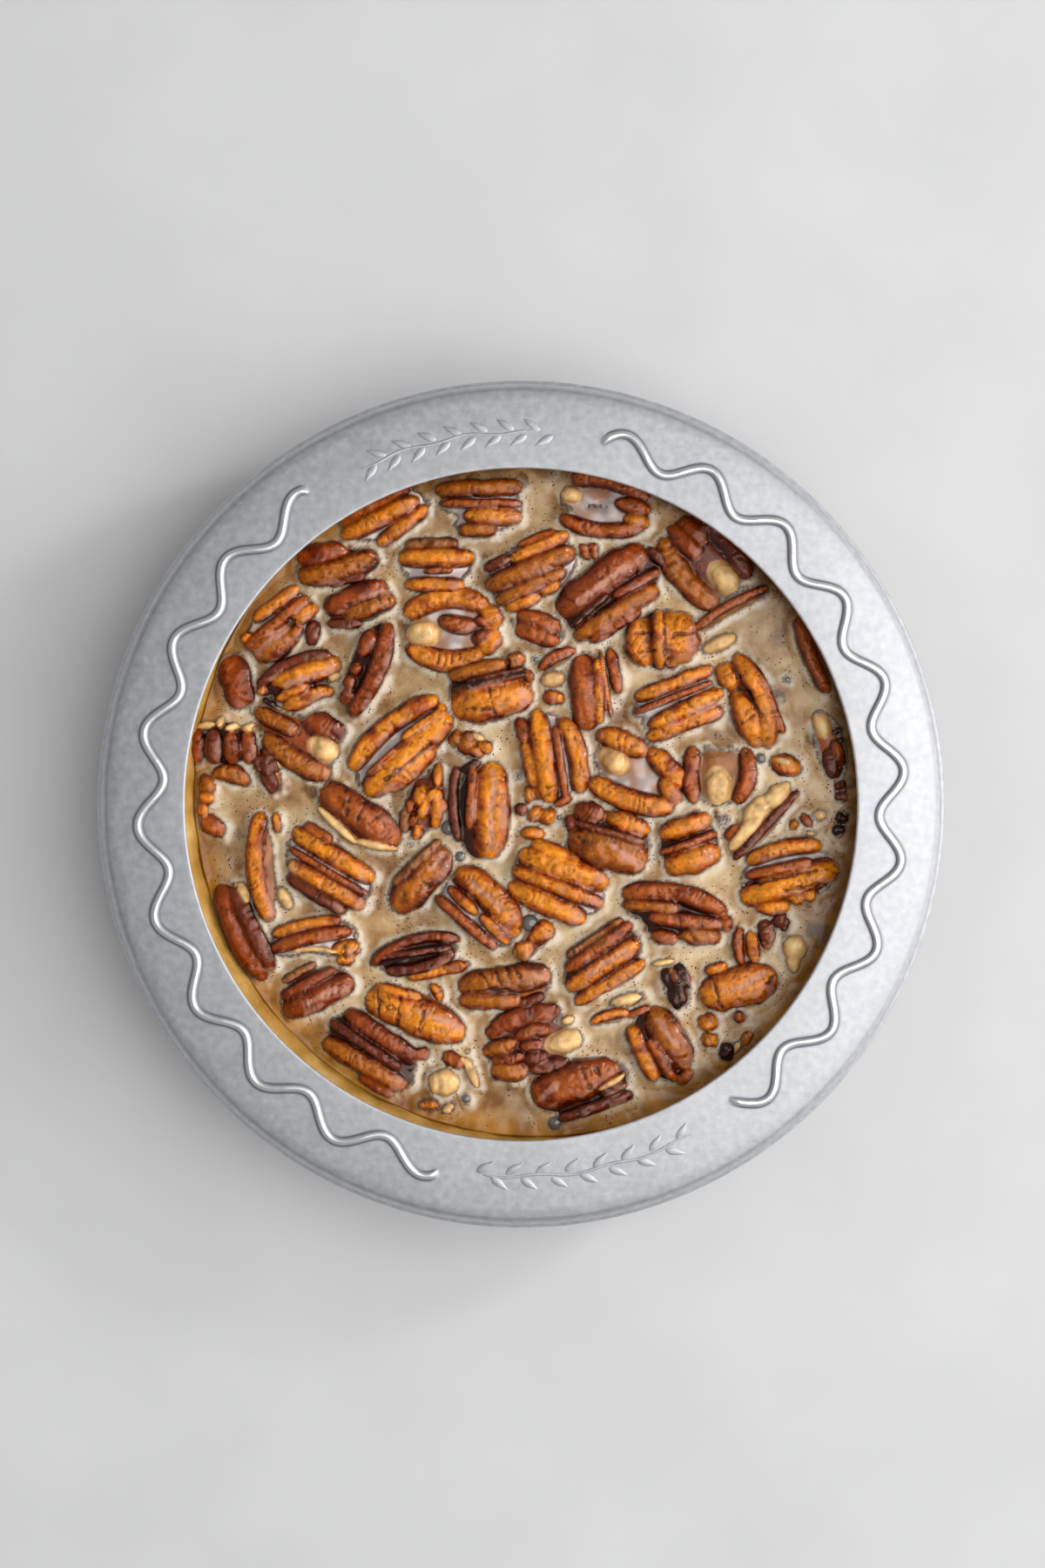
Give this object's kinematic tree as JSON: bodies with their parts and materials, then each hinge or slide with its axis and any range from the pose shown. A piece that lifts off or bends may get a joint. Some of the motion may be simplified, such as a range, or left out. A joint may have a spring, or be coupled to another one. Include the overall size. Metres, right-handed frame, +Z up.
{
  "type": "unbaked pecan pie",
  "caption": "Round unbaked pecan pie: fluted raw dough in a sloping metal tin, custard level with whole nuts, and a flat metal shield ring resting on the rim.",
  "frame": {"origin": "on the table, under the middle of the tin", "axes": "+Z up, out of the open top of the tin; +Y away from the viewer in the reference view"},
  "size_m": [0.248, 0.248, 0.0453],
  "materials": {
    "tin_metal": "satin",
    "shield_metal": "satin, lightly scratched",
    "raw_dough": "matt raw dough",
    "custard": "wet and glossy",
    "nut_skin": "glazed with syrup"
  },
  "bodies": {
    "root": {"pie_tin": "tin_metal", "raw_crust": "raw_dough", "filling": "custard", "nut_ridged_01": "nut_skin", "nut_ridged_02": "nut_skin", "nut_ridged_03": "nut_skin", "nut_ridged_04": "nut_skin", "nut_ridged_05": "nut_skin", "nut_ridged_06": "nut_skin", "nut_ridged_07": "nut_skin", "nut_ridged_08": "nut_skin", "nut_ridged_09": "nut_skin", "nut_ridged_10": "nut_skin", "nut_ridged_11": "nut_skin", "nut_ridged_12": "nut_skin", "nut_ridged_13": "nut_skin", "nut_ridged_14": "nut_skin", "nut_ridged_15": "nut_skin", "nut_ridged_16": "nut_skin", "nut_ridged_17": "nut_skin", "nut_ridged_18": "nut_skin", "nut_ridged_19": "nut_skin", "nut_ridged_20": "nut_skin", "nut_ridged_21": "nut_skin", "nut_ridged_22": "nut_skin", "nut_ridged_23": "nut_skin", "nut_ridged_24": "nut_skin", "nut_ridged_25": "nut_skin", "nut_ridged_26": "nut_skin", "nut_ridged_27": "nut_skin", "nut_ridged_28": "nut_skin", "nut_ridged_29": "nut_skin", "nut_ridged_30": "nut_skin", "nut_ridged_31": "nut_skin", "nut_ridged_32": "nut_skin", "nut_ridged_33": "nut_skin", "nut_ridged_34": "nut_skin", "nut_ridged_35": "nut_skin", "nut_ridged_36": "nut_skin", "nut_ridged_37": "nut_skin", "nut_cupped_01": "nut_skin", "nut_cupped_02": "nut_skin", "nut_cupped_03": "nut_skin", "nut_cupped_04": "nut_skin", "nut_cupped_05": "nut_skin", "nut_cupped_06": "nut_skin", "nut_cupped_07": "nut_skin", "nut_cupped_08": "nut_skin", "nut_cupped_09": "nut_skin", "nut_cupped_10": "nut_skin", "nut_cupped_11": "nut_skin", "nut_edge_01": "nut_skin", "nut_edge_02": "nut_skin", "nut_edge_03": "nut_skin", "nut_edge_04": "nut_skin", "nut_edge_05": "nut_skin", "nut_broken_01": "nut_skin", "nut_broken_02": "nut_skin", "nut_broken_03": "nut_skin", "crust_shield": "shield_metal"}
  },
  "joints": []
}
